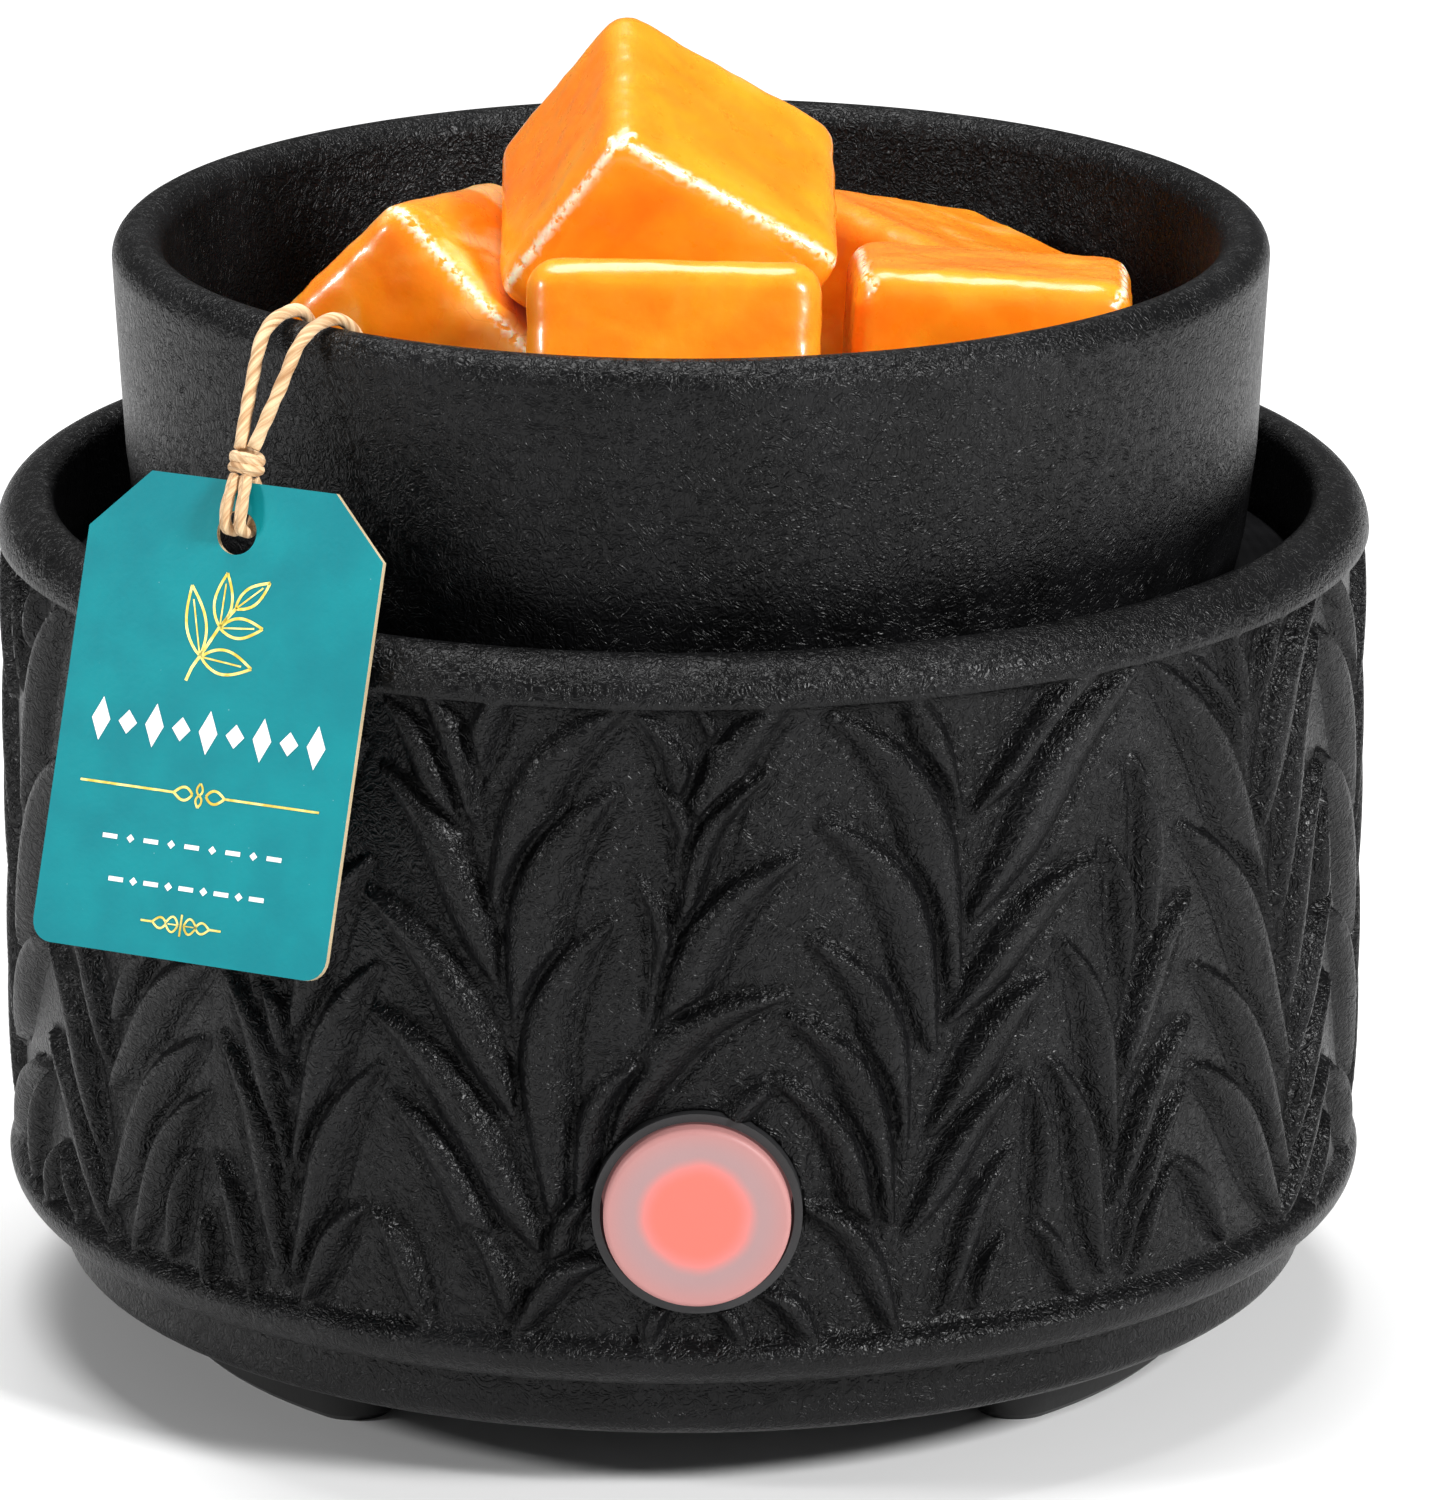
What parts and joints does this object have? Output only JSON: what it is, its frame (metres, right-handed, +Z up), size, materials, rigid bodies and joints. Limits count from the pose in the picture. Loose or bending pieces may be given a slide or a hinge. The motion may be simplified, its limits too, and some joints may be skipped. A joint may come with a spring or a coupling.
{
  "type": "table-top wax warmer",
  "caption": "Round black glazed wax warmer with a leaf-pattern base, push button, lift-off dish of orange wax blocks and a hanging card tag.",
  "frame": {"origin": "centre of the base's axis at the underside of the feet, where the warmer stands", "axes": "+Z up, -Y towards the front where the button is, +Y towards the mains inlet at the back, +X to the right seen from the front"},
  "size_m": [0.1308, 0.1341, 0.1261],
  "materials": {
    "black_glaze": "satin",
    "dish_glaze": "gloss",
    "dark_plate": "satin",
    "silicone_seal": "matte",
    "heater_ceramic": "matte",
    "glass_mat": "matte",
    "zinc_steel": "satin",
    "fuse_case": "satin",
    "black_plastic": "satin",
    "foot_rubber": "matte",
    "frosted_cap": "satin",
    "white_plastic": "satin",
    "switch_case": "matte",
    "lamp_epoxy": "gloss",
    "board_laminate": "satin",
    "part_cases": "satin",
    "gland_nylon": "satin",
    "wire_blue": "satin",
    "wire_brown": "satin",
    "wire_white": "satin",
    "paper_twine": "matte",
    "tag_card": "matte",
    "orange_wax": "gloss"
  },
  "bodies": {
    "base": {"base_shell": "black_glaze", "plate_seal": "silicone_seal", "hot_plate": "dark_plate", "heater_disc": "heater_ceramic", "heater_insulator": "glass_mat", "heater_cup": "zinc_steel", "heater_nuts": "zinc_steel", "thermal_fuse": "fuse_case", "fuse_clip": "zinc_steel", "tie_rods": "zinc_steel", "tie_studs": "zinc_steel", "bottom_cover": "black_plastic", "cover_screws": "zinc_steel", "button_sleeve": "black_plastic", "tact_switch": "switch_case", "indicator_lamp": "lamp_epoxy", "circuit_board": "board_laminate", "board_parts": "part_cases", "board_bracket": "zinc_steel", "board_screws": "zinc_steel", "cord_gland": "gland_nylon", "gland_lock_nut": "gland_nylon", "terminal_block": "white_plastic", "terminal_screws": "zinc_steel", "wire_neutral": "wire_blue", "wire_live": "wire_brown", "wire_switched": "wire_white", "wire_heater": "wire_white", "foot_front_left": "foot_rubber", "foot_front_right": "foot_rubber", "foot_rear": "foot_rubber"},
    "button": {"button_cap": "frosted_cap", "switch_plunger": "white_plastic"},
    "dish": {"wax_dish": "dish_glaze", "twine_loop": "paper_twine", "twine_knot": "paper_twine"},
    "wax_pile": {"wax_front": "orange_wax", "wax_right": "orange_wax", "wax_left": "orange_wax", "wax_back": "orange_wax"},
    "top_block": {"wax_top": "orange_wax"},
    "tag": {"hang_tag": "tag_card", "tag_loop": "paper_twine"}
  },
  "joints": [
    {"name": "button_press", "type": "slide", "parent": "base", "child": "button", "axis": [0, 1, 0], "range_m": [0, 0.0012], "stiffness_N_per_m": 900},
    {"name": "dish_lift", "type": "slide", "parent": "base", "child": "dish", "axis": [0, 0, 1], "range_m": [0, 0.06]},
    {"name": "pile_lift", "type": "slide", "parent": "dish", "child": "wax_pile", "axis": [0, 0, 1], "range_m": [0, 0.05]},
    {"name": "top_block_lift", "type": "slide", "parent": "wax_pile", "child": "top_block", "axis": [0, 0, 1], "range_m": [0, 0.04]},
    {"name": "tag_swing", "type": "hinge", "parent": "dish", "child": "tag", "pos_m": [-0.03925, -0.0485, 0.096], "axis": [-0.8988, 0.4384, 0], "range_deg": [0, 75]}
  ]
}
